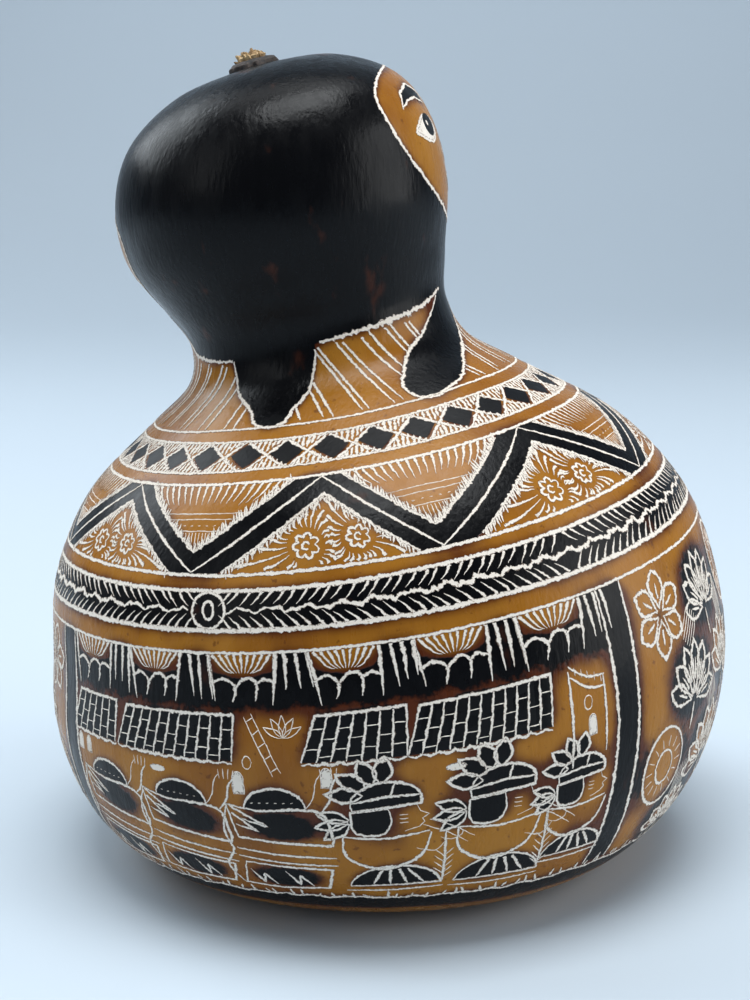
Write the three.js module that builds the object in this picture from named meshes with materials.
// A gourd rattle: one dried bottle gourd with a leaning head and a wide belly, its stem stub, and the
// loose dry seeds inside that make the sound. Millimetres, +Z up, origin at the centre of the flat seat.
import * as THREE from "three";

// Driving dimensions of the shell.
const WALL = 4; // rind thickness
const SEAT_RADIUS = 28; // flat that the gourd stands on
const STEM_HOLE_RADIUS = 3.2; // where the stem passes through the crown
const CROWN_HEIGHT = 161; // measured along the gourd's own axis

// The outline, from the edge of the seat to the edge of the stem hole: [radius, height].
const OUTLINE = [
  [SEAT_RADIUS, 0],
  [46, 1],
  [57.5, 6],
  [66.5, 18],
  [71, 35],
  [70, 51],
  [66, 67],
  [55.5, 82.5],
  [39.5, 94.5],
  [29.5, 102],
  [27, 110],
  [29.5, 118],
  [34, 130],
  [33.5, 142.5],
  [28, 152.5],
  [16.5, 159],
  [STEM_HOLE_RADIUS, CROWN_HEIGHT],
].map(([radius, height]) => new THREE.Vector2(radius, height));

// How the gourd's own axis wanders to the side and leans over on its way up:
// [height, sideways offset of the centre, lean of the section in degrees].
const AXIS = [
  [0, 0, 0],
  [25, 1, 3],
  [50, 0, 6.5],
  [75, -4.5, 8],
  [95, -9.5, 9],
  [110, -13, 10.5],
  [130, -18.5, 14],
  [150, -22.5, 15],
  [172, -27, 15],
];

// Mesh density.
const SIDES = 56;
const OUTER_ROWS = 44;
const INNER_ROWS = 26;

// Stem stub and scar, in millimetres above the crown or out from the hole's edge.
const STUB_HEIGHT = 3.9; // what is left of the broken stem
const STUB_DEPTH = 1.5; // how far its foot hangs below the wall
const STUB_SIDES = 20;
const SCAR_WIDTH = 1.8;
const SCAR_HEIGHT = 1.0;
const SCAR_SIDES = 28;

// Seeds.
const SEED_COUNT = 24;
const SEED = { length: 13, width: 6.6, thickness: 2.6, bevel: 0.8 };
const SEED_SPACING = 8.6; // radius factor of the sunflower pattern that they lie in
const SEED_CLEARANCE = 0.8; // above the floor of the hollow
const SEED_SWING = 0.35; // how far, in radians, each seed turns from its neighbours' direction
const GOLDEN_ANGLE = Math.PI * (3 - Math.sqrt(5));
const FIT_GAP = 0.3; // between pieces that touch

// Smooth lookup of the axis table: a cubic through its rows, with slopes from their neighbours.
function axisAt(height, column) {
  const rows = AXIS;
  let i = 0;
  while (i < rows.length - 2 && height > rows[i + 1][0]) i += 1;
  const slope = (k) => {
    const a = rows[Math.max(k - 1, 0)];
    const b = rows[Math.min(k + 1, rows.length - 1)];
    return (b[column] - a[column]) / (b[0] - a[0]);
  };
  const span = rows[i + 1][0] - rows[i][0];
  const t = (height - rows[i][0]) / span;
  const t2 = t * t;
  const t3 = t2 * t;
  return (
    (2 * t3 - 3 * t2 + 1) * rows[i][column] +
    (t3 - 2 * t2 + t) * span * slope(i) +
    (3 * t2 - 2 * t3) * rows[i + 1][column] +
    (t3 - t2) * span * slope(i + 1)
  );
}

// Moves a point of the upright gourd to its place in the leaning one.
function lean(point) {
  const offset = axisAt(point.z, 1);
  const angle = THREE.MathUtils.degToRad(axisAt(point.z, 2));
  const { x, z } = point;
  point.x = offset + x * Math.cos(angle);
  point.z = z + x * Math.sin(angle);
  return point;
}

function leanGeometry(geometry) {
  const position = geometry.getAttribute("position");
  const point = new THREE.Vector3();
  for (let i = 0; i < position.count; i += 1) {
    lean(point.fromBufferAttribute(position, i));
    position.setXYZ(i, point.x, point.y, point.z);
  }
  geometry.computeVertexNormals();
  return geometry;
}

// A turned piece: the profile is [radius, height] pairs, from the axis up and back, facing out.
function turned(profile, sides) {
  const geometry = new THREE.LatheGeometry(profile, sides);
  geometry.rotateX(Math.PI / 2); // the lathe turns about Y; the gourd stands along Z
  return leanGeometry(geometry);
}

function addPiece(group, name, geometry, material) {
  const mesh = new THREE.Mesh(geometry, material);
  mesh.name = name;
  group.add(mesh);
  return mesh;
}

// The outline as a curve, and the same curve moved in by the wall's thickness.
const outlineCurve = new THREE.SplineCurve(OUTLINE);

function outerProfile() {
  return outlineCurve.getPoints(OUTER_ROWS);
}

function innerProfile() {
  const points = [];
  for (let i = 0; i <= INNER_ROWS; i += 1) {
    const at = i / INNER_ROWS;
    const tangent = outlineCurve.getTangent(at);
    const inward = new THREE.Vector2(-tangent.y, tangent.x).multiplyScalar(WALL);
    points.push(outlineCurve.getPoint(at).add(inward));
  }
  points[INNER_ROWS].x = STEM_HOLE_RADIUS;
  return points;
}

function makeShell() {
  const inner = innerProfile();
  const floor = new THREE.Vector2(0, inner[0].y);
  const profile = [new THREE.Vector2(0, 0), ...outerProfile(), ...inner.reverse(), floor];
  return turned(profile, SIDES);
}

// Height of the hollow's floor at a distance from the axis, in the upright gourd.
function floorHeight(radius) {
  const inner = innerProfile();
  for (let i = 1; i < inner.length; i += 1) {
    const [a, b] = [inner[i - 1], inner[i]];
    if (radius < b.x) return radius < a.x ? a.y : a.y + ((b.y - a.y) * (radius - a.x)) / (b.x - a.x);
  }
  return inner[0].y;
}

// The stem: a broken fibrous stub that runs through the crown, and the corky scar around its foot.
function makeStemStub() {
  const radius = STEM_HOLE_RADIUS - FIT_GAP;
  const foot = CROWN_HEIGHT - WALL - STUB_DEPTH;
  const top = CROWN_HEIGHT + STUB_HEIGHT;
  const profile = [
    [0, foot],
    [radius * 0.7, foot],
    [radius, foot + 1],
    [radius, CROWN_HEIGHT + 0.8],
    [radius * 1.1, CROWN_HEIGHT + STUB_HEIGHT * 0.5],
    [radius * 0.9, top - 0.7],
    [radius * 0.55, top],
    [0, top - 0.3],
  ];
  return turned(profile.map(([r, z]) => new THREE.Vector2(r, z)), STUB_SIDES);
}

function makeStemScar() {
  const bottom = CROWN_HEIGHT + FIT_GAP;
  const hole = STEM_HOLE_RADIUS + 0.2;
  const profile = [
    [hole, bottom],
    [hole + SCAR_WIDTH, bottom - 0.2],
    [hole + SCAR_WIDTH * 0.85, bottom + SCAR_HEIGHT * 0.5],
    [hole + SCAR_WIDTH * 0.5, bottom + SCAR_HEIGHT],
    [hole + 0.2, bottom + SCAR_HEIGHT * 0.8],
    [hole, bottom],
  ];
  return turned(profile.map(([r, z]) => new THREE.Vector2(r, z)), SCAR_SIDES);
}

// One seed, lying flat and centred on the origin: a blunt teardrop plate with bevelled edges.
function makeSeed() {
  const { length, width, thickness, bevel } = SEED;
  const half = length / 2 - bevel;
  const side = width / 2 - bevel;
  const outline = new THREE.Shape();
  outline.moveTo(-half, -side * 0.45);
  outline.quadraticCurveTo(-half * 0.2, -side * 1.1, half * 0.75, -side * 0.8);
  outline.quadraticCurveTo(half, -side * 0.5, half, 0);
  outline.quadraticCurveTo(half, side * 0.5, half * 0.75, side * 0.8);
  outline.quadraticCurveTo(-half * 0.2, side * 1.1, -half, side * 0.45);
  outline.closePath();
  const geometry = new THREE.ExtrudeGeometry(outline, {
    depth: thickness - 2 * bevel,
    bevelThickness: bevel,
    bevelSize: bevel,
    bevelSegments: 1,
    curveSegments: 4,
  });
  geometry.translate(0, 0, bevel - thickness / 2);
  return geometry;
}

// Seeds lie in a single layer on the floor of the hollow, spaced as in a sunflower.
function placeSeed(mesh, index) {
  const radius = SEED_SPACING * Math.sqrt(index + 0.3);
  const angle = index * GOLDEN_ANGLE;
  const reach = radius + SEED.length / 2;
  const height = floorHeight(reach) + SEED.thickness / 2 + SEED_CLEARANCE;
  const place = new THREE.Vector3(radius * Math.cos(angle), radius * Math.sin(angle), height);
  mesh.position.copy(lean(place));
  mesh.rotation.z = angle + Math.PI / 2 + SEED_SWING * Math.sin(index * 2.1);
}

const rind = new THREE.MeshStandardMaterial({ color: 0xb8741f, roughness: 0.35, metalness: 0 });
const fibre = new THREE.MeshStandardMaterial({ color: 0xc9a468, roughness: 0.95, metalness: 0 });
const cork = new THREE.MeshStandardMaterial({ color: 0x2a1a10, roughness: 0.85, metalness: 0 });
const husk = new THREE.MeshStandardMaterial({ color: 0xb99b6b, roughness: 0.7, metalness: 0 });

const gourd = new THREE.Group();
addPiece(gourd, "gourd_shell", makeShell(), rind);
addPiece(gourd, "stem_stub", makeStemStub(), fibre);
addPiece(gourd, "stem_scar", makeStemScar(), cork);
for (let i = 0; i < SEED_COUNT; i += 1) {
  const name = "seed_" + String(i + 1).padStart(2, "0");
  placeSeed(addPiece(gourd, name, makeSeed(), husk.clone()), i);
}

export default gourd;
